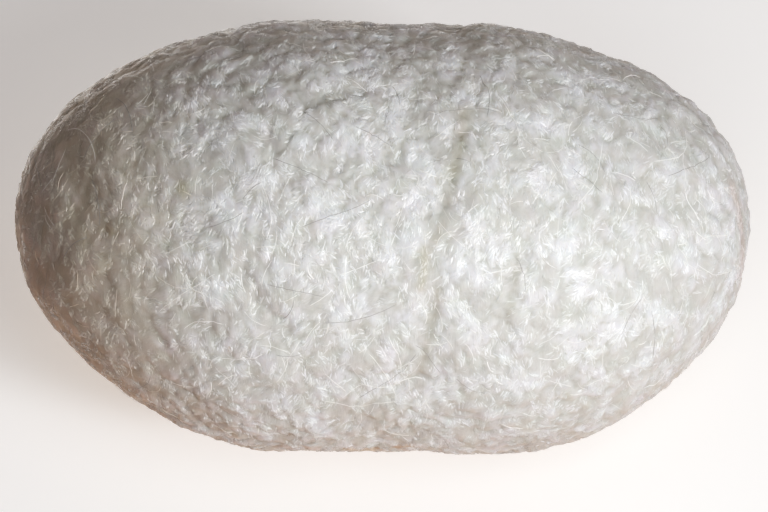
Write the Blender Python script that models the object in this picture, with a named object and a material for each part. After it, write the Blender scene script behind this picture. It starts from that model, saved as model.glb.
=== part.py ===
"""A silkworm's cocoon: one closed, blunt oval of matted white silk, lying on its side.

Metres, +Z up. The long axis runs along X. The origin is on the flat spot that the
cocoon rests on, under the middle of its length and width.
"""

import math

import bmesh
import bpy
from mathutils import Matrix, Vector, noise

# Driving dimensions. The waist draws the width and the height in by about 0.0009
LENGTH = 0.0360
WIDTH = 0.0225
HEIGHT = 0.0216
REST_CUT = 0.00030  # how much of the underside the flat spot takes away

# The outline: a blunt oval, a little fuller at +X, with a slight waist and bow
BLUNTNESS = {"narrow_end": 2.05, "full_end": 2.17}  # 2 is an ellipse, more is squarer
WAIST = {"x": 0.0006, "reach": 0.0050, "share": 0.060}
BOW = 0.00068  # how far the tips rise above the middle of the length
BOW_LEAN = math.radians(35)  # the bow leans from straight up towards +Y
SAGS = (  # where the length hangs a little below that bow
    {"x": 0.0100, "reach": 0.0037, "depth": 0.00040},
    {"x": -0.0080, "reach": 0.0035, "depth": 0.00014},
)

# The underside stays plain near the flat spot: the lumps and the waist fade in over these heights
UNDERSIDE = {"plain_below": 0.0006, "lumps_above": 0.0026, "waist_above": 0.0050}

# The surface: soft lumps that run round the girth, and finer ones on them
LUMPS = (
    {"size": 0.0034, "height": 0.00019, "seed": 3.7},
    {"size": 0.0022, "height": 0.00013, "seed": 11.2},
)
LUMP_SQUEEZE = 1.2  # lumps are this much shorter along the length than round the girth
LUMP_WANDER = {"size": 0.0060, "amount": 0.0009}
WANDER_SEED = 1795512811  # Blender's noise vectors change from run to run unless they are seeded
VALLEY_WIDTH = 0.20  # of the noise's swing, so more makes the valleys between lumps wider

# Folds: each runs through points of (x, turn), a turn of 0 facing the side at -Y that
# looks 60 degrees up, and a positive turn going over the top.
FACING = math.radians(60)
FOLD_WIDTH = 0.00075
FOLDS = (
    {"depth": 0.00010, "points": ((0.0041, 36), (0.0036, 20), (0.0028, 8), (0.0021, -4))},
    {"depth": 0.00013, "points": ((0.0021, -4), (0.0028, -17), (0.0023, -31), (0.0019, -39))},
    {"depth": 0.00011, "points": ((0.0068, -2), (0.0065, -11), (0.0061, -23), (0.0060, -31))},
    {"depth": 0.00011, "points": ((-0.0093, 35), (-0.0096, 26), (-0.0099, 14))},
    {"depth": 0.00008, "points": ((-0.0055, 20), (-0.0016, 16), (0.0010, 22))},
    {"depth": 0.00010, "points": ((-0.0067, -11), (-0.0053, -23), (-0.0038, -30))},
    {"depth": 0.00011, "points": ((-0.0138, 32), (-0.0144, 19), (-0.0148, 6))},
    {"depth": 0.00009, "points": ((0.0108, 23), (0.0136, 20), (0.0151, 8), (0.0152, -10))},
)

# The mesh: an icosahedral ball, each of its triangles cut into rows
BALL_STEPS = 2
BALL_CUTS = 9


def clear_scene():
    for thing in list(bpy.data.objects):
        bpy.data.objects.remove(thing, do_unlink=True)


def even_ball():
    """A bmesh ball of unit radius whose triangles are all about one size."""
    ball = bmesh.new()
    bmesh.ops.create_icosphere(ball, subdivisions=BALL_STEPS, radius=1.0)
    bmesh.ops.subdivide_edges(ball, edges=ball.edges[:], cuts=BALL_CUTS, use_grid_fill=True)
    bmesh.ops.triangulate(ball, faces=ball.faces[:])
    for vert in ball.verts:
        vert.co.normalize()
    return ball


def smooth_step(value, low, high):
    share = min(1.0, max(0.0, (value - low) / (high - low)))
    return share * share * (3.0 - 2.0 * share)


def oval_point(ball_point):
    """The point of the plain oval for a point of the ball, before its waist and bow."""
    slimmed = ball_point.copy()
    slimmed.x *= math.sqrt(WIDTH / LENGTH)  # keeps the triangles even between middle and tips
    direction = slimmed.normalized()
    bluntness = BLUNTNESS["full_end"] if direction.x > 0 else BLUNTNESS["narrow_end"]
    across = math.hypot(direction.y, direction.z)
    reach = (abs(direction.x) ** bluntness + across**bluntness) ** (-1.0 / bluntness)
    return Vector(
        (
            direction.x * reach * LENGTH / 2,
            direction.y * reach * WIDTH / 2,
            direction.z * reach * HEIGHT / 2,
        )
    )


def waisted(point, share):
    """The point drawn in by that share of the waist."""
    nearness = math.exp(-(((point.x - WAIST["x"]) / WAIST["reach"]) ** 2))
    narrowing = 1.0 - WAIST["share"] * share * nearness
    return Vector((point.x, point.y * narrowing, point.z * narrowing))


def bowed(point):
    rise = BOW * (point.x / (LENGTH / 2)) ** 2
    for sag in SAGS:
        rise -= sag["depth"] * math.exp(-(((point.x - sag["x"]) / sag["reach"]) ** 2))
    return point + rise * Vector((0.0, math.sin(BOW_LEAN), math.cos(BOW_LEAN)))


def lump_height(point):
    """Rounded lumps with narrow valleys between them, from folded noise."""
    wander = noise.noise_vector(point / LUMP_WANDER["size"]) * LUMP_WANDER["amount"]
    place = point + wander
    place.x *= LUMP_SQUEEZE
    total = 0.0
    for lumps in LUMPS:
        shift = Vector((lumps["seed"], lumps["seed"] * 2, lumps["seed"] * 3))
        swing = noise.noise(place / lumps["size"] + shift) ** 2
        total += lumps["height"] * (swing / (swing + VALLEY_WIDTH**2) - 0.5)
    return total


def gap_to_segment(spot, start, end):
    along = end - start
    share = min(1.0, max(0.0, (spot - start).dot(along) / along.length_squared))
    return (spot - start - share * along).length


def fold_depth(point):
    """How deep the folds press in at this point. Girth distances are measured on the half width."""
    turn = math.atan2(point.z, -point.y) - FACING
    turn = (turn + math.pi) % (2 * math.pi) - math.pi
    girth = WIDTH / 2
    spot = Vector((point.x, turn * girth))
    deepest = 0.0
    for fold in FOLDS:
        path = [Vector((x, math.radians(turned) * girth)) for x, turned in fold["points"]]
        gap = min(gap_to_segment(spot, start, end) for start, end in zip(path, path[1:]))
        deepest = max(deepest, fold["depth"] * math.exp(-((gap / FOLD_WIDTH) ** 2)))
    return deepest


def shape_cocoon(ball):
    """Moves the ball's points onto the cocoon's surface, still centred on the origin."""
    for vert in ball.verts:
        oval = oval_point(vert.co)
        height = oval.z + HEIGHT / 2
        waist_share = smooth_step(height, UNDERSIDE["plain_below"], UNDERSIDE["waist_above"])
        lump_share = smooth_step(height, UNDERSIDE["plain_below"], UNDERSIDE["lumps_above"])
        plain = waisted(oval, waist_share)
        outward = Vector((plain.x / LENGTH**2, plain.y / WIDTH**2, plain.z / HEIGHT**2)).normalized()
        relief = lump_share * (lump_height(plain) - fold_depth(plain))
        vert.co = bowed(plain + outward * relief)


def cut_rest_spot(body):
    """Cuts the underside flat and closes the cut with faces that are shaded flat."""
    lowest = min(vert.co.z for vert in body.verts)
    level = lowest + REST_CUT
    snap = REST_CUT / 3  # points this near the cut are put on it, so that no thin slivers are left
    for vert in body.verts:
        if abs(vert.co.z - level) < snap:
            vert.co.z = level
    cut = bmesh.ops.bisect_plane(
        body,
        geom=body.verts[:] + body.edges[:] + body.faces[:],
        dist=snap / 100,
        plane_co=(0.0, 0.0, level),
        plane_no=(0.0, 0.0, -1.0),
        clear_outer=True,
    )
    for face in body.faces:
        face.smooth = True
    rim = [item for item in cut["geom_cut"] if isinstance(item, bmesh.types.BMEdge)]
    spot = bmesh.ops.edgenet_fill(body, edges=rim)["faces"]
    for face in spot:
        face.smooth = False
    bmesh.ops.triangulate(body, faces=spot)
    bmesh.ops.recalc_face_normals(body, faces=body.faces[:])


def put_on_origin(body):
    """Brings the flat spot to Z 0, with the middle of the length and width over it."""
    lows = [min(vert.co[axis] for vert in body.verts) for axis in range(3)]
    highs = [max(vert.co[axis] for vert in body.verts) for axis in range(3)]
    middle = Vector(((lows[0] + highs[0]) / 2, (lows[1] + highs[1]) / 2, lows[2]))
    to_length = Matrix.Scale(LENGTH / (highs[0] - lows[0]), 4)
    bmesh.ops.transform(body, verts=body.verts[:], matrix=to_length @ Matrix.Translation(-middle))


def silk_material():
    silk = bpy.data.materials.new("matted_silk")
    silk.use_nodes = True
    shader = silk.node_tree.nodes["Principled BSDF"]
    shader.inputs["Base Color"].default_value = (0.74, 0.73, 0.70, 1.0)
    shader.inputs["Roughness"].default_value = 0.6
    shader.inputs["Metallic"].default_value = 0.0
    return silk


def make_cocoon():
    body = even_ball()
    shape_cocoon(body)
    cut_rest_spot(body)
    put_on_origin(body)
    mesh = bpy.data.meshes.new("cocoon")
    body.to_mesh(mesh)
    body.free()
    mesh.materials.append(silk_material())
    cocoon = bpy.data.objects.new("cocoon", mesh)
    bpy.context.scene.collection.objects.link(cocoon)
    return cocoon


clear_scene()
noise.seed_set(WANDER_SEED)
make_cocoon()
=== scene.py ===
import math

import bpy
import numpy as np
from mathutils import Matrix, Vector, noise
from mathutils.bvhtree import BVHTree


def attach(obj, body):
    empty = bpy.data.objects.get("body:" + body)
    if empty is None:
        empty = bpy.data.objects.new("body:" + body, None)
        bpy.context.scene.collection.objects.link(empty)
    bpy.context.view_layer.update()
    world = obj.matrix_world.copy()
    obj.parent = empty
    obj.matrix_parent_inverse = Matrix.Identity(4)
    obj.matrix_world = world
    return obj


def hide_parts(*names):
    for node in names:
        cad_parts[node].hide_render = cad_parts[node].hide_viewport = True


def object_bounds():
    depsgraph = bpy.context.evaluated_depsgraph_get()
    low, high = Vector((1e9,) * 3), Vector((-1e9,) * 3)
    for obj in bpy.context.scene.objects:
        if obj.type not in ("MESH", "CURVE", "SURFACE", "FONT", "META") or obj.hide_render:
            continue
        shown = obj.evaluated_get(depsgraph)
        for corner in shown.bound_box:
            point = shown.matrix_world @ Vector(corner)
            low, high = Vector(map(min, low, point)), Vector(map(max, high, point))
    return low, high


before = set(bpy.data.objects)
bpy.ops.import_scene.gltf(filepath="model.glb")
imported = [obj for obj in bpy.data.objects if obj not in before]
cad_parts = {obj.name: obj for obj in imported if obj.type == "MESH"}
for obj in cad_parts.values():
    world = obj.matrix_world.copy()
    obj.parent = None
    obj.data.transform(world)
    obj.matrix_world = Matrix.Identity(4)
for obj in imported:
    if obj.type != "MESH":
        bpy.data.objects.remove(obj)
cadLow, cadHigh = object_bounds()
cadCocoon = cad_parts["cocoon"]
mm = 0.001
print("frame loaded, the cocoon is", round((cadHigh.x - cadLow.x) / mm, 1), "mm long")


def deselectAll():
    if bpy.context.mode != "OBJECT":
        bpy.ops.object.mode_set(mode="OBJECT")
    bpy.ops.object.select_all(action="DESELECT")


def makeActive(piece):
    deselectAll()
    piece.select_set(True)
    bpy.context.view_layer.objects.active = piece


# camera: a long macro lens looking down on the cocoon's long side
camera = {
    "elevation": 60,  # degrees above the horizon, looking along +Y
    "roll": 0.9,  # degrees, the right end of the cocoon hangs a little
    "distance": 250 * mm,
    "photoWidth": 768,  # pixels
    "photoHeight": 512,
    "pixel": 0.0492 * mm,  # what one pixel of the photograph covers at the cocoon's middle
    "middle": (382, 238),  # the pixel where the cocoon's middle is
    "sensor": 36,  # millimetres, as the camera takes them
    "nearest": 10 * mm,
    "farthest": 20,
}


def makeCamera(c):
    elevation = math.radians(c["elevation"])
    back = Vector((0, -math.cos(elevation), math.sin(elevation)))
    roll = Matrix.Rotation(math.radians(c["roll"]), 3, "Z")
    turn = (-back).to_track_quat("-Z", "Y").to_matrix() @ roll
    right = turn @ Vector((1, 0, 0))
    up = turn @ Vector((0, 1, 0))
    target = (cadLow + cadHigh) / 2
    offsetRight = (c["photoWidth"] / 2 - c["middle"][0]) * c["pixel"]
    offsetUp = (c["middle"][1] - c["photoHeight"] / 2) * c["pixel"]
    target = target + right * offsetRight + up * offsetUp
    deselectAll()
    bpy.ops.object.camera_add(location=target + back * c["distance"])
    made = bpy.context.object
    made.name = "photoCamera"
    made.rotation_euler = turn.to_euler()
    made.data.sensor_width = c["sensor"]
    made.data.lens = c["sensor"] * c["distance"] / (c["photoWidth"] * c["pixel"])
    made.data.clip_start = c["nearest"]
    made.data.clip_end = c["farthest"]
    bpy.context.scene.camera = made
    bpy.context.view_layer.update()
    return made


def pixelRay(x, y):
    c = camera
    across = (x - c["photoWidth"] / 2) * c["pixel"]
    down = (y - c["photoHeight"] / 2) * c["pixel"]
    turn = photoCamera.matrix_world.to_3x3()
    direction = turn @ Vector((across, -down, -c["distance"]))
    return photoCamera.matrix_world.translation, direction.normalized()


photoCamera = makeCamera(camera)
print("camera placed")


# silk shell: the solid's form, made finer and given its small wrinkles
shellLook = {
    "mergeWithin": 0.01 * mm,
    "levels": 2,  # of subdivision
    "softPasses": 6,  # round off the solid's own valleys
    "wrinkles": (
        {"size": 1.10 * mm, "height": 0.110 * mm, "squeeze": 1.5, "valley": 0.14, "seed": 5.1},
        {"size": 0.68 * mm, "height": 0.066 * mm, "squeeze": 1.4, "valley": 0.16, "seed": 17.3},
    ),
    "wander": {"size": 4.0 * mm, "amount": 0.7 * mm, "seed": 5},
    "calmBelow": 0.5 * mm,  # nothing is moved under this height, so the flat spot stays flat
    "calmAbove": 2.0 * mm,
    "reliefPasses": 40,  # of smoothing, to tell crests from valleys
    "reliefRange": 0.24 * mm,  # from the deepest valley to the highest crest
    "patchSize": 1.2 * mm,  # satin patches: painted sheen, where the silk is packed closest and shines most
    "patchCrest": 0.55,  # how far the crests decide where a patch lies, and noise the rest
    "patchCloud": 0.9,  # the swing of that noise
    "patchFrom": 0.46,
    "patchTo": 0.72,
    "patchCrease": 0.8,  # the share of a patch that the middle of a fold takes away, as painted crease shade
}

# folds, along pixels of the photograph: shallow creases
folds = (
    {"depth": 0.070 * mm, "width": 0.36 * mm,
     "pixels": ((467, 112), (458, 165), (442, 205), (430, 245), (438, 290), (429, 335),
                (420, 378))},
    {"depth": 0.050 * mm, "width": 0.34 * mm,
     "pixels": ((520, 248), (515, 280), (507, 320), (503, 345))},
    {"depth": 0.030 * mm, "width": 0.32 * mm, "pixels": ((192, 120), (188, 150), (180, 190))},
    {"depth": 0.030 * mm, "width": 0.32 * mm, "pixels": ((270, 165), (350, 178), (400, 160))},
    {"depth": 0.030 * mm, "width": 0.32 * mm, "pixels": ((245, 280), (275, 322), (305, 345))},
    {"depth": 0.030 * mm, "width": 0.30 * mm, "pixels": ((100, 150), (88, 185), (78, 218))},
    {"depth": 0.030 * mm, "width": 0.30 * mm, "pixels": ((600, 160), (650, 160), (690, 200))},
)

# stains and painted shade, along pixels of the photograph: each multiplies the colour of the silk
# under it
stainAndShadeMarks = (
    # the first five lie along the folds: painted crease shade, beige
    {"colour": (0.85, 0.82, 0.75), "width": 0.32 * mm,
     "pixels": ((463, 112), (461, 140), (455, 166))},
    {"colour": (0.88, 0.85, 0.76), "width": 0.22 * mm,
     "pixels": ((424, 250), (425, 268), (421, 288))},
    {"colour": (0.85, 0.83, 0.78), "width": 0.28 * mm,
     "pixels": ((455, 172), (448, 205), (436, 240))},
    {"colour": (0.84, 0.82, 0.77), "width": 0.24 * mm,
     "pixels": ((438, 292), (430, 330), (421, 372))},
    {"colour": (0.87, 0.86, 0.82), "width": 0.22 * mm,
     "pixels": ((519, 255), (515, 280), (506, 330))},
    {"colour": (0.93, 0.92, 0.80), "width": 0.30 * mm,
     "pixels": ((182, 186), (184, 196))},
    {"colour": (0.94, 0.91, 0.82), "width": 0.22 * mm,
     "pixels": ((108, 228), (112, 233))},
    {"colour": (0.95, 0.76, 0.57), "width": 0.26 * mm,
     "pixels": ((345, 449), (362, 450), (378, 449))},
    {"colour": (0.94, 0.74, 0.55), "width": 0.22 * mm,
     "pixels": ((396, 447), (410, 446))},
    {"colour": (0.55, 0.42, 0.32), "width": 0.07 * mm,
     "pixels": ((227, 349), (229, 350))},
    # painted warm shade along the right rim
    {"colour": (0.92, 0.82, 0.79), "width": 0.45 * mm,
     "pixels": ((731, 185), (740, 215), (743, 245), (741, 280))},
)
pathSteps = 8  # from one pixel of a fold or stain to the next

# the narrow end: smoother than the rest, and painted browner and duller as painted warm shade, from
# the first length to the second
narrowEnd = {
    "from": -7.0 * mm,
    "to": -15.0 * mm,
    # painted warm shade at the tip
    "colour": (0.93, 0.86, 0.76),
    "wrinkles": 0.5,  # the share of the wrinkles' height that is left at the tip
    "shine": 0.3,  # and of the fibres' tone, dimmed as painted shade
}


def smoothStep(values, low, high):
    share = np.clip((values - low) / (high - low), 0, 1)
    return share * share * (3 - 2 * share)


def wrinkleHeight(point, look):
    wander = look["wander"]
    place = point + noise.noise_vector(point / wander["size"]) * wander["amount"]
    total = 0.0
    for w in look["wrinkles"]:
        squeezed = Vector((place.x * w["squeeze"], place.y, place.z)) / w["size"]
        swing = noise.noise(squeezed + Vector((w["seed"], w["seed"] * 2, 0))) ** 2
        total += w["height"] * (swing / (swing + w["valley"] ** 2) - 0.5)
    return total


def pathsOnSurface(lines, surface):
    paths = []
    for line in lines:
        hits = []
        for start, end in zip(line["pixels"], line["pixels"][1:]):
            for step in range(pathSteps + 1):
                share = step / pathSteps
                x = start[0] + (end[0] - start[0]) * share
                y = start[1] + (end[1] - start[1]) * share
                hit = surface.ray_cast(*pixelRay(x, y))[0]
                if hit is not None:
                    hits.append(hit)
        paths.append(np.array(hits).reshape(-1, 3))
    return paths


def nearness(points, path, width):
    # 1 on the path, falling off to 0 within about two widths
    squares = np.ones(len(points))  # of the distance: a metre is far off
    for spot in path:
        squares = np.minimum(squares, ((points - spot) ** 2).sum(axis=1))
    return np.exp(-squares / width**2)


def foldDepths(points, surface):
    deepest = np.zeros(len(points))
    for fold, path in zip(folds, pathsOnSurface(folds, surface)):
        deepest = np.maximum(deepest, fold["depth"] * nearness(points, path, fold["width"]))
    return deepest


def endShares(points):
    # 0 over most of the cocoon, rising to 1 at the narrow tip
    return smoothStep(points[:, 0], narrowEnd["from"], narrowEnd["to"])


def stainAndShadeColours(points, surface):
    # the narrow end's painted warm shade, then the stains and the painted shade marks
    colours = 1 - endShares(points)[:, None] * (1 - np.array(narrowEnd["colour"]))
    for stainAndShade, path in zip(stainAndShadeMarks, pathsOnSurface(stainAndShadeMarks, surface)):
        share = nearness(points, path, stainAndShade["width"])[:, None]
        colours *= 1 - share * (1 - np.array(stainAndShade["colour"]))
    return colours


def meshVectors(mesh, name):
    flat = np.zeros(len(mesh.vertices) * 3, np.float32)
    mesh.vertices.foreach_get(name, flat)
    return flat.reshape(-1, 3).astype(float)


def meshPoints(mesh):
    return meshVectors(mesh, "co")


def meshNormals(mesh):
    return meshVectors(mesh, "normal")


def movePoints(piece, points):
    piece.data.vertices.foreach_set("co", points.astype(np.float32).ravel())
    piece.data.update()


def softenActive(passes):
    soften = bpy.context.object.modifiers.new("soften", "SMOOTH")
    soften.factor = 0.5
    soften.iterations = passes
    bpy.ops.object.modifier_apply(modifier=soften.name)


def surfaceOf(piece):
    return BVHTree.FromObject(piece, bpy.context.evaluated_depsgraph_get())


def storeNumbers(piece, name, values):
    stored = piece.data.attributes.new(name, "FLOAT", "POINT")
    stored.data.foreach_set("value", np.asarray(values, np.float32))


def storeColours(piece, name, values):
    stored = piece.data.attributes.new(name, "FLOAT_COLOR", "POINT")
    opaque = np.ones((len(values), 4), np.float32)
    opaque[:, :3] = values
    stored.data.foreach_set("color", opaque.ravel())


def makeShell(look):
    shell = bpy.data.objects.new("silkShell", cadCocoon.data.copy())
    bpy.context.scene.collection.objects.link(shell)
    shell.data.materials.clear()
    makeActive(shell)
    bpy.ops.object.mode_set(mode="EDIT")
    bpy.ops.mesh.select_all(action="SELECT")
    bpy.ops.mesh.remove_doubles(threshold=look["mergeWithin"])
    bpy.ops.object.mode_set(mode="OBJECT")
    finer = shell.modifiers.new("finer", "SUBSURF")
    finer.levels = look["levels"]
    finer.render_levels = look["levels"]
    bpy.ops.object.modifier_apply(modifier=finer.name)
    points = meshPoints(shell.data)
    strength = smoothStep(points[:, 2], look["calmBelow"], look["calmAbove"])
    softenActive(look["softPasses"])
    points += (meshPoints(shell.data) - points) * strength[:, None]
    movePoints(shell, points)
    surface = surfaceOf(shell)
    noise.seed_set(look["wander"]["seed"])  # or the noise vectors change from run to run
    heights = np.array([wrinkleHeight(Vector(p), look) for p in points])
    heights -= foldDepths(points, surface)
    strength *= 1 - (1 - narrowEnd["wrinkles"]) * endShares(points)
    movePoints(shell, points + meshNormals(shell.data) * (heights * strength)[:, None])
    bpy.ops.object.shade_smooth()
    storeColours(shell, "stainAndShade", stainAndShadeColours(points, surface))
    return shell


def storeRelief(shell, look):
    # 0 in the valleys and 1 on the crests
    makeActive(shell)
    bpy.ops.object.duplicate()
    plain = bpy.context.object
    softenActive(look["reliefPasses"])
    moved = meshPoints(shell.data) - meshPoints(plain.data)
    rise = (moved * meshNormals(plain.data)).sum(axis=1)
    bpy.data.meshes.remove(plain.data)
    share = np.clip(0.5 + rise / look["reliefRange"], 0, 1)
    storeNumbers(shell, "relief", share)
    print("relief", np.percentile(rise / mm, (2, 10, 50, 90, 98)).round(3))
    return share


def storeSheenPatches(shell, relief, look):
    # painted sheen: the patches keep to the crests of the wrinkles, broken up by noise
    points = meshPoints(shell.data)
    cloud = np.array([noise.noise(Vector(p) / look["patchSize"]) for p in points])
    crest = look["patchCrest"]
    mixed = crest * relief + (1 - crest) * (0.5 + look["patchCloud"] * cloud)
    share = smoothStep(mixed, look["patchFrom"], look["patchTo"])
    creased = foldDepths(points, surfaceOf(shell)) / max(fold["depth"] for fold in folds)
    share *= 1 - look["patchCrease"] * creased
    storeNumbers(shell, "sheenPatch", share)
    print("patches cover", round(float(share.mean()), 2))
    return share, creased


# grain: the way the silk runs, which swirls from place to place
grainLook = {"size": 1.4 * mm, "lean": -8, "swing": 46, "seed": 3}  # degrees from the girth
strandGrain = {"size": 3.0 * mm, "lean": 0, "swing": 60, "seed": 40}


def localGrain(point, look):
    swirl = noise.noise(point / look["size"] + Vector((look["seed"], 0, 0)))
    return math.radians(look["lean"] + look["swing"] * 2 * swirl)


def turnedOnSurface(normal, angle):
    girth = Vector((1, 0, 0)).cross(normal)
    if girth.length < 0.05:
        girth = Vector((0, 0, 1)).cross(normal)
    girth.normalize()
    along = normal.cross(girth)
    return girth * math.cos(angle) + along * math.sin(angle)


def storeGrain(shell, look):
    # the way the silk runs at each point, which the shell's material reads
    flow = []
    for point, normal in zip(meshPoints(shell.data), meshNormals(shell.data)):
        spot = Vector(point)
        flow.extend(turnedOnSurface(Vector(normal).normalized(), localGrain(spot, look)))
    grain = shell.data.attributes.new("grain", "FLOAT_VECTOR", "POINT")
    grain.data.foreach_set("vector", np.array(flow, np.float32))


silkShell = makeShell(shellLook)
shellRelief = storeRelief(silkShell, shellLook)
shellSheenPatch, shellCrease = storeSheenPatches(silkShell, shellRelief, shellLook)
storeGrain(silkShell, grainLook)
print("shell made:", len(silkShell.data.polygons), "faces")


# fibres: short strands matted on the shell, and longer loose ones
fibreSection = ((0, 0.38), (-1, -0.26), (1, -0.26))  # a low roof on a flat base, in half widths
footBare = 0.05 * mm  # no fibre starts lower than this, on the flat spot
foldBare = 0.7  # the share of the fibres that the middle of a fold lacks
tuftShine = {"curve": 1.6, "scale": 1.4, "base": -0.1}  # few tufts are bright and many are dull


def traceFibre(surface, start, normal, angle, length, bend, lifts):
    stations = len(lifts)
    step = length / (stations - 1)
    direction = turnedOnSurface(normal, angle)
    spot = start - direction * (length / 2)
    points = []
    normals = []
    for lift in lifts:
        found, facing = surface.find_nearest(spot)[:2]
        points.append(found + facing * lift)
        normals.append(facing)
        direction = direction - facing * direction.dot(facing)
        direction.rotate(Matrix.Rotation(bend / stations, 3, facing))
        direction.normalize()
        spot = found + direction * step
    return points, normals


def startSpots(shell, count, crestShare, picker):
    mesh = shell.data
    mesh.calc_loop_triangles()
    corners = np.zeros(len(mesh.loop_triangles) * 3, np.int32)
    mesh.loop_triangles.foreach_get("vertices", corners)
    corners = corners.reshape(-1, 3)
    points = meshPoints(mesh)[corners]
    across = np.cross(points[:, 1] - points[:, 0], points[:, 2] - points[:, 0])
    weights = np.linalg.norm(across, axis=1)
    weights *= (1 - crestShare) + crestShare * shellSheenPatch[corners].mean(axis=1)
    weights *= 1 - foldBare * shellCrease[corners].mean(axis=1)
    weights[points[:, :, 2].min(axis=1) < footBare] = 0
    chosen = picker.choice(len(corners), count, p=weights / weights.sum())
    mix = picker.dirichlet((1, 1, 1), count)
    spots = (points[chosen] * mix[:, :, None]).sum(axis=1)
    normals = meshNormals(mesh)[corners[chosen]].mean(axis=1)
    patches = shellSheenPatch[corners[chosen]].mean(axis=1)
    return spots, normals, patches


def fibreMesh(name, paths, normals, widths, rolls):
    # each fibre is a three-sided tube that runs to a point at both ends. Its roof is shaded
    # round, and the edges of its flat base are sharp, so that the base doesn't darken the roof
    paths = np.array(paths)
    normals = np.array(normals)
    count, stations = paths.shape[:2]
    middle = paths[:, 1:-1]
    ahead = paths[:, 2:] - paths[:, :-2]
    ahead /= np.linalg.norm(ahead, axis=2, keepdims=True)
    side = np.cross(ahead, normals[:, 1:-1])
    side /= np.linalg.norm(side, axis=2, keepdims=True)
    rise = np.cross(side, ahead)
    roll = rolls[:, None, None]
    rolled = side * np.cos(roll) + rise * np.sin(roll)
    rise = rise * np.cos(roll) - side * np.sin(roll)
    side = rolled
    half = widths[:, None, None] / 2
    rings = [middle + (side * across + rise * up) * half for across, up in fibreSection]
    ringCount = stations - 2
    ringPoints = np.stack(rings, axis=2).reshape(count, ringCount * 3, 3)
    points = np.concatenate([paths[:, :1], ringPoints, paths[:, -1:]], axis=1)
    perFibre = ringCount * 3 + 2
    last = perFibre - 1
    faces = []
    roof = []
    for corner in range(3):
        here = 1 + corner
        beside = 1 + (corner + 1) % 3
        faces.append((0, here, beside))
        for ring in range(ringCount - 1):
            a, b = here + ring * 3, beside + ring * 3
            faces.append((a, a + 3, b + 3))
            faces.append((a, b + 3, b))
        end = (ringCount - 1) * 3
        faces.append((last, beside + end, here + end))
        roof.extend([corner != 1] * (ringCount * 2))
    starts = (np.arange(count) * perFibre)[:, None, None]
    faces = (np.array(faces)[None] + starts).reshape(-1, 3)
    mesh = bpy.data.meshes.new(name)
    mesh.from_pydata(points.reshape(-1, 3), [], faces)
    piece = bpy.data.objects.new(name, mesh)
    bpy.context.scene.collection.objects.link(piece)
    mesh.polygons.foreach_set("use_smooth", np.tile(roof, count))
    ends = np.zeros(len(mesh.edges) * 2, np.int32)
    mesh.edges.foreach_get("vertices", ends)
    local = ends.reshape(-1, 2) % perFibre
    onRidge = (local % 3 == 1) & (local < last)
    mesh.edges.foreach_set("use_edge_sharp", ~onRidge.any(axis=1))
    piece.visible_shadow = False  # silk this fine lets the light through
    return piece


def layFibres(name, look, seed, shell, surface):
    # the fibres lie in tufts: one way, place and tone for each tuft, a little off for each fibre
    picker = np.random.default_rng(seed)
    tuftSize = look["tuftSize"]
    count = look["tufts"] * tuftSize
    spots, facings, patches = startSpots(shell, look["tufts"], look["crestShare"], picker)
    tuftTurns = picker.normal(0, math.radians(look["tuftTurn"]), look["tufts"])
    shine = picker.uniform(0, 1, look["tufts"]) ** tuftShine["curve"]
    shine = shine * tuftShine["scale"] + tuftShine["base"]
    # tufts on the satin patches are painted paler: painted sheen
    tuftTones = look["patchTone"] * patches + (1 - look["patchTone"]) * shine
    lengths = picker.uniform(*look["length"], count)
    widths = picker.uniform(*look["width"], count)
    spreads = picker.normal(0, math.radians(look["spread"]), count)
    bends = picker.normal(0, math.radians(look["bend"]), count)
    rolls = picker.normal(0, math.radians(look["roll"]), count)
    rises = picker.uniform(*look["rise"], count)
    aside = picker.normal(0, look["tuftWidth"] / 2, count)
    ahead = picker.normal(0, look["tuftLength"] / 2, count)
    tones = picker.normal(0, look["toneSpread"], count)
    paths = []
    normals = []
    profile = np.sin(np.linspace(0, math.pi, look["stations"]))
    number = 0
    for spot, facing, tuftTurn, tuftTone in zip(spots, facings, tuftTurns, tuftTones):
        spot = Vector(spot)
        facing = Vector(facing).normalized()
        tuftAngle = localGrain(spot, look["grain"]) + tuftTurn
        forward = turnedOnSurface(facing, tuftAngle)
        sideways = facing.cross(forward)
        for _ in range(tuftSize):
            start = spot + sideways * aside[number] + forward * ahead[number]
            angle = tuftAngle + spreads[number]
            lifts = profile * rises[number] - look["sunk"]
            bend = bends[number]
            points, along = traceFibre(surface, start, facing, angle, lengths[number], bend, lifts)
            paths.append(points)
            normals.append(along)
            tone = tuftTone * look["toneTo"] + tones[number]
            tones[number] = min(look["toneTo"], max(0, tone))
            number += 1
    piece = fibreMesh(name, paths, normals, widths, rolls)
    perFibre = len(piece.data.vertices) // count
    middles = np.array(paths)[:, look["stations"] // 2]
    # the fibres at the narrow end are painted dimmer: painted shade
    tones *= 1 - (1 - narrowEnd["shine"]) * endShares(middles)
    storeNumbers(piece, "tone", np.repeat(tones, perFibre))
    colours = stainAndShadeColours(middles, surface)
    storeColours(piece, "stainAndShade", np.repeat(colours, perFibre, axis=0))
    print(name, "made:", len(piece.data.polygons), "triangles")
    return piece


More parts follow.
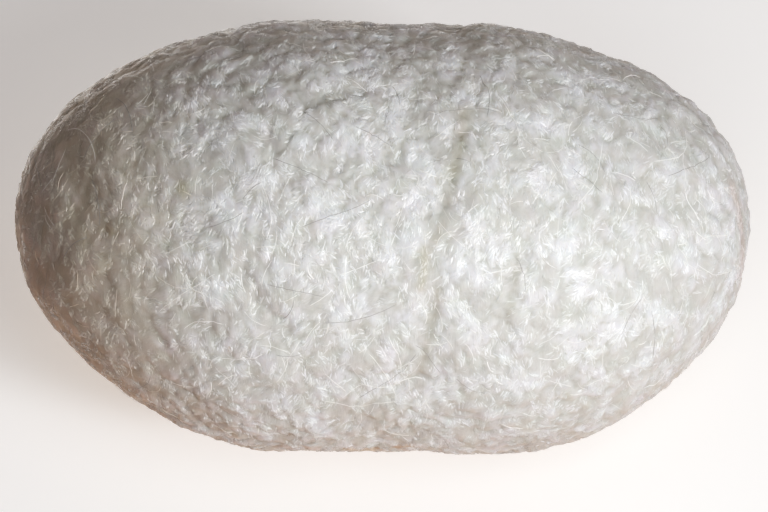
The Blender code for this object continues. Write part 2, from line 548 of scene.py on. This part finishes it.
underLook = {
    "tufts": 6000,
    "tuftSize": 5,  # fibres
    "tuftTurn": 30,  # degrees off the grain
    "tuftWidth": 0.24 * mm,
    "tuftLength": 0.30 * mm,
    "stations": 3,  # points along a fibre
    "length": (0.22 * mm, 0.60 * mm),
    "width": (0.050 * mm, 0.095 * mm),
    "rise": (0.010 * mm, 0.030 * mm),
    "sunk": 0.010 * mm,
    "spread": 12,  # degrees, within a tuft
    "roll": 12,  # degrees about the fibre
    "bend": 0,  # degrees along the fibre
    "patchTone": 0.4,  # how far the satin patches' painted sheen sets the tone of a tuft
    "toneTo": 0.65,
    "toneSpread": 0.18,
    "crestShare": 0.2,  # how far the tufts keep to the satin patches
    "grain": grainLook,
}
feltLook = {
    "tufts": 3000,  # in each of three layers
    "tuftSize": 5,
    "tuftTurn": 26,
    "tuftWidth": 0.20 * mm,
    "tuftLength": 0.28 * mm,
    "stations": 4,
    "length": (0.22 * mm, 0.62 * mm),
    "width": (0.040 * mm, 0.092 * mm),
    "rise": (0.012 * mm, 0.045 * mm),
    "sunk": 0.010 * mm,
    "spread": 9,
    "roll": 12,
    "bend": 26,
    "patchTone": 0.4,
    "toneTo": 1,
    "toneSpread": 0.12,
    "crestShare": 0.65,
    "grain": grainLook,
}
strandLook = {
    "tufts": 1100,  # of one strand each
    "tuftSize": 1,
    "tuftTurn": 60,
    "tuftWidth": 0,
    "tuftLength": 0,
    "stations": 9,
    "length": (0.5 * mm, 2.0 * mm),
    "width": (0.026 * mm, 0.046 * mm),
    "rise": (0.03 * mm, 0.09 * mm),
    "sunk": 0.012 * mm,
    "spread": 0,
    "roll": 25,
    "bend": 55,
    "patchTone": 0,
    "toneTo": 1,
    "toneSpread": 0,
    "crestShare": 0.3,
    "grain": strandGrain,
}
feltLayers = (  # each with the seed of its random draws
    ("silkFelt1", underLook, 10),
    ("silkFelt2", feltLook, 11),
    ("silkFelt3", feltLook, 12),
    ("silkFelt4", feltLook, 13),
)

shellSurface = surfaceOf(silkShell)
feltPieces = []
for name, look, seed in feltLayers:
    feltPieces.append(layFibres(name, look, seed, silkShell, shellSurface))
looseStrands = layFibres("looseStrands", strandLook, 40, silkShell, shellSurface)

# single strands that stand out, along pixels of the photograph, and some more all round
singleLook = {
    "stations": 14,
    "lift": 0.08 * mm,
    "width": {"pale": 0.040 * mm, "grey": 0.032 * mm},
    "more": 64,  # of each kind, anywhere
    "moreLength": (1.2 * mm, 4.2 * mm),
    "moreBend": 45,
    "lines": {
        # grey strands: partly loose dark fibres, and partly painted shadow where lifted strands
        # throw shade
        "grey": (
            ((272, 158), (300, 169), (331, 184)), ((354, 126), (374, 136), (396, 150)),
            ((302, 111), (320, 124), (334, 142)), ((391, 85), (397, 95), (400, 106)),
            ((454, 158), (463, 160), (470, 162)), ((264, 284), (294, 290), (325, 297)),
            ((320, 323), (362, 318), (398, 303)), ((276, 355), (290, 356), (303, 353)),
            ((577, 144), (594, 156), (605, 173)), ((571, 167), (589, 182), (603, 193)),
            ((646, 181), (653, 197), (657, 214)), ((651, 310), (654, 335), (652, 360)),
        ),
        "pale": (
            ((369, 354), (384, 372), (396, 396)), ((359, 383), (375, 386), (390, 387)),
            ((538, 358), (549, 359), (559, 358)), ((618, 305), (629, 303), (638, 298)),
            ((577, 82), (599, 78), (623, 82)), ((150, 64), (153, 68), (153, 72)),
            ((143, 105), (149, 97), (152, 87)), ((136, 105), (144, 100), (148, 93)),
            ((165, 86), (171, 85), (174, 81)), ((345, 250), (352, 232), (364, 216)),
            ((351, 300), (345, 280), (347, 255)), ((404, 215), (396, 232), (391, 246)),
            ((66, 148), (59, 168), (50, 188)), ((44, 206), (49, 216), (55, 227)),
            ((45, 214), (48, 222), (54, 231)), ((40, 194), (48, 186), (54, 176)),
        ),
    },
}


def curveThrough(first, middle, last, share):
    # the curve that passes the middle point halfway
    pull = 2 * middle - (first + last) / 2
    return first * (1 - share) ** 2 + pull * 2 * share * (1 - share) + last * share**2


def laySingles(name, kind, look, seed, surface):
    lifts = np.sin(np.linspace(0, math.pi, look["stations"])) * look["lift"]
    paths = []
    normals = []
    for line in look["lines"][kind]:
        first, middle, last = (np.array(pixel, float) for pixel in line)
        points = []
        facings = []
        for step, lift in enumerate(lifts):
            x, y = curveThrough(first, middle, last, step / (look["stations"] - 1))
            hit, facing = surface.ray_cast(*pixelRay(x, y))[:2]
            points.append(hit + facing * lift)
            facings.append(facing)
        paths.append(points)
        normals.append(facings)
    picker = np.random.default_rng(seed)
    spots, facings = startSpots(silkShell, look["more"], 0, picker)[:2]
    for spot, facing in zip(spots, facings):
        angle = picker.uniform(0, math.pi)
        bend = picker.normal(0, math.radians(look["moreBend"]))
        length = picker.uniform(*look["moreLength"])
        facing = Vector(facing).normalized()
        points, along = traceFibre(surface, Vector(spot), facing, angle, length, bend, lifts)
        paths.append(points)
        normals.append(along)
    widths = np.full(len(paths), look["width"][kind])
    piece = fibreMesh(name, paths, normals, widths, np.zeros(len(paths)))
    storeNumbers(piece, "tone", np.ones(len(piece.data.vertices)))
    storeColours(piece, "stainAndShade", np.ones((len(piece.data.vertices), 3)))
    print(name, "made:", len(piece.data.polygons), "triangles")
    return piece


paleStrands = laySingles("paleStrands", "pale", singleLook, 51, shellSurface)
shadowGreyStrands = laySingles("shadowGreyStrands", "grey", singleLook, 52, shellSurface)


# materials
silkLook = {
    # the patch colour, paler and bluish, is painted sheen on the satin patches
    "sheenPatch": (0.655, 0.66, 0.67, 1),
    # crest and valley: the valleys are painted darker and greener than the crests, painted shade in
    # the hollows with a greener tint
    "crest": (0.58, 0.58, 0.56, 1),
    "valley": (0.51, 0.51, 0.47, 1),
    "cloud": 0.07,  # how far soft clouds of colour stray from that
    "cloudSize": 0.9 * mm,
    "roughness": 0.6,
    "gloss": 0.3,
    "scatter": 0.8,
    "scatterRadius": (1.0, 0.9, 0.8),
    "scatterScale": 1.0 * mm,
    "streakWidth": 0.085 * mm,  # from the middle of one streak to the next
    "streakLength": 0.50 * mm,
    "streakFocus": 4,  # more keeps closer to the way the silk runs
    "streakRange": (0.32, 0.68),  # of the noise, from a gap to a streak
    "streakTone": 0.13,  # how much paler a streak is than the gaps
    "streakBump": 0.009 * mm,
    "streakShift": 7.3,  # keeps the ways' patterns apart
}
streakWays = (  # along the axes and the diagonals between two of them
    (1, 0, 0), (0, 1, 0), (0, 0, 1),
    (1, 1, 0), (1, -1, 0), (1, 0, 1),
    (1, 0, -1), (0, 1, 1), (0, 1, -1),
)


def addNode(tree, kind, **settings):
    node = tree.nodes.new(kind)
    for name, value in settings.items():
        setattr(node, name, value)
    return node


def mathNode(tree, operation, *inputs):
    node = addNode(tree, "ShaderNodeMath", operation=operation)
    for socket, value in zip(node.inputs, inputs):
        if isinstance(value, (int, float)):
            socket.default_value = value
        else:
            tree.links.new(value, socket)
    return node.outputs[0]


def vectorNode(tree, operation, *inputs):
    node = addNode(tree, "ShaderNodeVectorMath", operation=operation)
    for socket, value in zip(node.inputs, inputs):
        if isinstance(value, (tuple, Vector)):
            socket.default_value = value
        else:
            tree.links.new(value, socket)
    return node


def colourMix(tree, factor, first, second):
    node = addNode(tree, "ShaderNodeMix", data_type="RGBA")
    tree.links.new(factor, node.inputs["Factor"])
    for name, value in (("A", first), ("B", second)):
        if isinstance(value, tuple):
            node.inputs[name].default_value = value
        else:
            tree.links.new(value, node.inputs[name])
    return node.outputs["Result"]


def attributeValue(tree, name):
    return addNode(tree, "ShaderNodeAttribute", attribute_name=name).outputs["Fac"]


def stainedAndShaded(tree, colour, look):
    # the colour times the stains and painted shade, and times soft clouds of faint colour
    stainAndShade = addNode(tree, "ShaderNodeAttribute", attribute_name="stainAndShade").outputs["Color"]
    place = addNode(tree, "ShaderNodeTexCoord").outputs["Object"]
    cloud = addNode(tree, "ShaderNodeTexNoise")
    cloud.inputs["Scale"].default_value = 1 / look["cloudSize"]
    cloud.inputs["Detail"].default_value = 1
    tree.links.new(place, cloud.inputs["Vector"])
    swing = look["cloud"]
    level = (1 - swing / 2,) * 3
    faint = vectorNode(tree, "MULTIPLY_ADD", cloud.outputs["Color"], (swing,) * 3, level)
    both = vectorNode(tree, "MULTIPLY", stainAndShade, faint.outputs["Vector"]).outputs["Vector"]
    return vectorNode(tree, "MULTIPLY", both, colour).outputs["Vector"]


def streakPattern(tree, look):
    # fine streaks: noise drawn out along nine ways, of which the ones nearest the grain show
    place = addNode(tree, "ShaderNodeTexCoord").outputs["Object"]
    grain = addNode(tree, "ShaderNodeAttribute", attribute_name="grain").outputs["Vector"]
    fine = 1 / look["streakWidth"]
    long = 1 / look["streakLength"]
    small = vectorNode(tree, "MULTIPLY", place, (fine, fine, fine)).outputs["Vector"]
    total = None
    weights = None
    for number, way in enumerate(streakWays):
        way = Vector(way).normalized()
        reach = vectorNode(tree, "DOT_PRODUCT", place, way).outputs["Value"]
        drawn = vectorNode(tree, "MULTIPLY_ADD", reach, way * (long - fine), small)
        shift = (number * look["streakShift"], 0, 0)
        shifted = vectorNode(tree, "ADD", drawn.outputs["Vector"], shift).outputs["Vector"]
        pattern = addNode(tree, "ShaderNodeTexNoise")
        pattern.inputs["Scale"].default_value = 1
        pattern.inputs["Detail"].default_value = 1
        tree.links.new(shifted, pattern.inputs["Vector"])
        along = vectorNode(tree, "DOT_PRODUCT", grain, way).outputs["Value"]
        weight = mathNode(tree, "POWER", mathNode(tree, "ABSOLUTE", along), look["streakFocus"])
        share = mathNode(tree, "MULTIPLY", weight, pattern.outputs["Fac"])
        total = share if total is None else mathNode(tree, "ADD", total, share)
        weights = weight if weights is None else mathNode(tree, "ADD", weights, weight)
    return mathNode(tree, "DIVIDE", total, weights)


def silkMaterial(name, look):
    silk = bpy.data.materials.new(name)
    silk.use_nodes = True
    shader = silk.node_tree.nodes["Principled BSDF"]
    shader.inputs["Roughness"].default_value = look["roughness"]
    shader.inputs["Specular IOR Level"].default_value = look["gloss"]
    shader.inputs["Subsurface Weight"].default_value = look["scatter"]
    shader.inputs["Subsurface Radius"].default_value = look["scatterRadius"]
    shader.inputs["Subsurface Scale"].default_value = look["scatterScale"]
    return silk, silk.node_tree, shader


def shellMaterial(name, look):
    silk, tree, shader = silkMaterial(name, look)
    # the valleys are painted darker than the crests: painted shade in the wrinkles' hollows
    reliefShade = colourMix(tree, attributeValue(tree, "relief"), look["valley"], look["crest"])
    # the satin patches are painted paler: painted sheen
    tint = colourMix(tree, attributeValue(tree, "sheenPatch"), reliefShade, look["sheenPatch"])
    streaks = addNode(tree, "ShaderNodeMapRange")
    streaks.inputs["From Min"].default_value = look["streakRange"][0]
    streaks.inputs["From Max"].default_value = look["streakRange"][1]
    tree.links.new(streakPattern(tree, look), streaks.inputs["Value"])
    tone = look["streakTone"]
    paler = mathNode(tree, "MULTIPLY_ADD", streaks.outputs["Result"], tone, 1 - tone / 2)
    toned = vectorNode(tree, "SCALE", stainedAndShaded(tree, tint, look))
    tree.links.new(paler, toned.inputs["Scale"])
    tree.links.new(toned.outputs["Vector"], shader.inputs["Base Color"])
    bump = addNode(tree, "ShaderNodeBump")
    bump.inputs["Distance"].default_value = look["streakBump"]
    tree.links.new(streaks.outputs["Result"], bump.inputs["Height"])
    tree.links.new(bump.outputs["Normal"], shader.inputs["Normal"])
    return silk


feltPaint = {
    "dull": (0.60, 0.60, 0.57, 1),
    # the bright end is tinted blue as painted highlight
    "bright": (0.86, 0.875, 0.89, 1),
    "cloud": 0.07,
    "cloudSize": 0.9 * mm,
    "roughness": 0.22,
    "gloss": 0.5,
    "refraction": 1.55,
    "scatter": 0.42,
    "scatterRadius": (1.0, 0.95, 0.9),
    "scatterScale": 0.2 * mm,
}
strandPaint = dict(feltPaint, dull=(0.80, 0.79, 0.76, 1), bright=(0.88, 0.88, 0.85, 1))
# painted shadow: the grey strands stand partly for dark fibres and partly for the shade under
# lifted strands
shadowGreyPaint = dict(
    feltPaint,
    dull=(0.30, 0.29, 0.28, 1),
    bright=(0.34, 0.33, 0.32, 1),
    roughness=0.4,
    gloss=0.3,
    scatter=0.0,
)


def fibreMaterial(name, look):
    silk, tree, shader = silkMaterial(name, look)
    shader.inputs["IOR"].default_value = look["refraction"]
    tint = colourMix(tree, attributeValue(tree, "tone"), look["dull"], look["bright"])
    tree.links.new(stainedAndShaded(tree, tint, look), shader.inputs["Base Color"])
    return silk


silkShell.data.materials.append(shellMaterial("mattedSilk", silkLook))
feltSilk = fibreMaterial("feltSilk", feltPaint)
for piece in feltPieces:
    piece.data.materials.append(feltSilk)
strandSilk = fibreMaterial("strandSilk", strandPaint)
looseStrands.data.materials.append(strandSilk)
paleStrands.data.materials.append(strandSilk)
shadowGreyStrands.data.materials.append(fibreMaterial("shadowGreySilk", shadowGreyPaint))
for piece in (silkShell, *feltPieces, looseStrands, paleStrands, shadowGreyStrands):
    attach(piece, "root")
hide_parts("cocoon")
print("materials made")


# floor and lights: a soft light near the cocoon and a window light, both from the right of the
# photograph, a low light where the photograph doesn't see it, and a pale room that is warmer
# on the photograph's lower side
lights = {  # right and down are degrees off the camera's line of sight, as the photograph sees them
    "softLight": {
        "right": 20,
        "down": 30,
        "away": 55 * mm,
        "size": 30 * mm,
        "power": (0.0148, 0.0153, 0.0151),
    },
    "windowLight": {
        "right": 46,
        "down": 15,
        "away": 500 * mm,
        "size": 100 * mm,
        "power": (0.94, 0.93, 0.96),
    },
    "backLight": {
        "right": 165,
        "down": -135,
        "away": 500 * mm,
        "size": 250 * mm,
        "power": (1.60, 1.58, 1.55),
    },
}
room = (
    {"towards": (1, 0, 0), "colour": (0.18, 0.18, 0.18)},
    {"towards": (-0.2, 0.98, 0), "colour": (0.40, 0.32, 0.26)},
    {"towards": (0, -1, 0), "colour": (0.17, 0.06, 0.04)},
    {"towards": (0, 0, 1), "colour": (0.18, 0.17, 0.18)},
    {"towards": (0, 0, -1), "colour": (1.15, 0.74, 0.48)},
)
floorLook = {
    "size": 4.0,
    "level": -0.01 * mm,
    "colour": (0.93, 0.93, 0.92, 1),
    "roughness": 0.9,
    "glow": 0.25,  # lifts the shadow, as on a light table
}
toneLook = {  # the camera's own curve: a soft shoulder and a little contrast
    "shoulder": 1.3,
    "contrast": 0.15,
    "stops": (0, 0.03, 0.08, 0.16, 0.28, 0.42, 0.6, 0.8, 1.0),
}


def makeFloor(look):
    deselectAll()
    bpy.ops.mesh.primitive_plane_add(size=look["size"], location=(0, 0, look["level"]))
    floor = bpy.context.object
    floor.name = "floor"
    paint = bpy.data.materials.new("paleFloor")
    paint.use_nodes = True
    shader = paint.node_tree.nodes["Principled BSDF"]
    shader.inputs["Base Color"].default_value = look["colour"]
    shader.inputs["Roughness"].default_value = look["roughness"]
    shader.inputs["Emission Color"].default_value = look["colour"]
    shader.inputs["Emission Strength"].default_value = look["glow"]
    floor.data.materials.append(paint)
    floor.visible_diffuse = False  # the room's warm light from below passes the floor
    floor.visible_shadow = False
    return floor


def makeLight(name, look):
    polar = math.radians(look["right"])
    around = math.radians(-look["down"])
    across = math.sin(polar)
    view = Vector((across * math.cos(around), across * math.sin(around), math.cos(polar)))
    towards = photoCamera.matrix_world.to_3x3() @ view
    middle = (cadLow + cadHigh) / 2
    deselectAll()
    bpy.ops.object.light_add(type="AREA", location=middle + towards * look["away"])
    light = bpy.context.object
    light.name = name
    light.rotation_euler = (-towards).to_track_quat("-Z", "Y").to_euler()
    light.data.size = look["size"]
    strongest = max(look["power"])
    light.data.energy = strongest
    light.data.color = [share / strongest for share in look["power"]]
    light.visible_camera = False
    return light


def makeRoom(lobes):
    # the light from each way falls off with the square of the cosine
    world = bpy.data.worlds.new("studioRoom")
    bpy.context.scene.world = world
    world.use_nodes = True
    tree = world.node_tree
    place = addNode(tree, "ShaderNodeTexCoord").outputs["Generated"]
    total = None
    for lobe in lobes:
        facing = vectorNode(tree, "DOT_PRODUCT", place, lobe["towards"]).outputs["Value"]
        soft = mathNode(tree, "POWER", mathNode(tree, "MAXIMUM", facing, 0), 2)
        tinted = vectorNode(tree, "SCALE", lobe["colour"])
        tree.links.new(soft, tinted.inputs["Scale"])
        tinted = tinted.outputs["Vector"]
        if total is not None:
            tinted = vectorNode(tree, "ADD", total, tinted).outputs["Vector"]
        total = tinted
    tree.links.new(total, tree.nodes["Background"].inputs["Color"])


# from light to the tone that a screen is given, and back
def encoded(light):
    return 12.92 * light if light < 0.0031 else 1.055 * light ** (1 / 2.4) - 0.055


def decoded(tone):
    return tone / 12.92 if tone < 0.0404 else ((tone + 0.055) / 1.055) ** 2.4


def makeTone(look):
    view = bpy.context.scene.view_settings
    view.view_transform = "Standard"
    view.use_curve_mapping = True
    curve = view.curve_mapping.curves[3]  # the one for all three colours together
    while len(curve.points) < len(look["stops"]):
        curve.points.new(0.5, 0.5)
    for point, light in zip(curve.points, look["stops"]):
        soft = light * look["shoulder"] / (1 + light * (look["shoulder"] - 1))
        tone = encoded(soft)
        tone -= look["contrast"] * math.sin(2 * math.pi * tone) / (2 * math.pi)
        point.location = (light, decoded(tone))
    view.curve_mapping.update()


makeFloor(floorLook)
for name, look in lights.items():
    makeLight(name, look)
makeRoom(room)
makeTone(toneLook)
print("floor and lights made")
